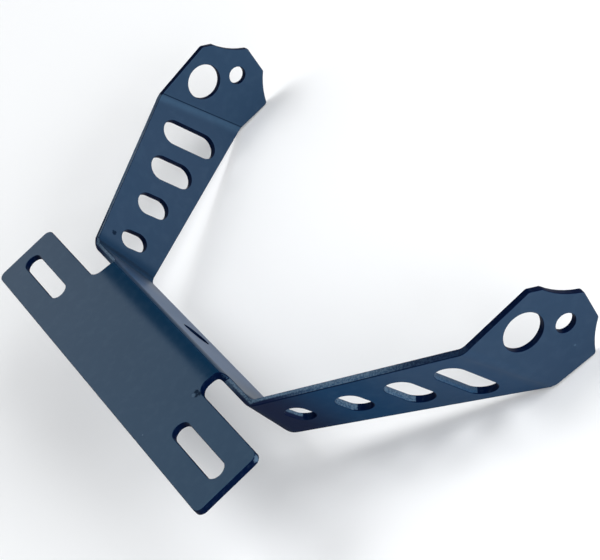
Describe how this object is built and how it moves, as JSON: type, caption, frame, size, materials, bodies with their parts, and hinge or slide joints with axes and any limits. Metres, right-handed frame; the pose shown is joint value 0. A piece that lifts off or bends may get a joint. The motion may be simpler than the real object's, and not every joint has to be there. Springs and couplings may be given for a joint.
{
  "type": "license plate bracket",
  "caption": "Folded sheet bracket: a slotted bar that carries a licence plate, a web turned down behind it and two splayed arms with long slots and bolt tabs.",
  "frame": {"origin": "middle of the plate bar's back edge, on the face that carries the plate", "axes": "+X along the bar, +Y from the bar towards the arms, +Z out of the face that carries the plate"},
  "size_m": [0.2308, 0.1285, 0.0414],
  "materials": {
    "powder_coat": "satin powder coat"
  },
  "bodies": {
    "root": {"plate_bracket": "powder_coat"}
  },
  "joints": []
}
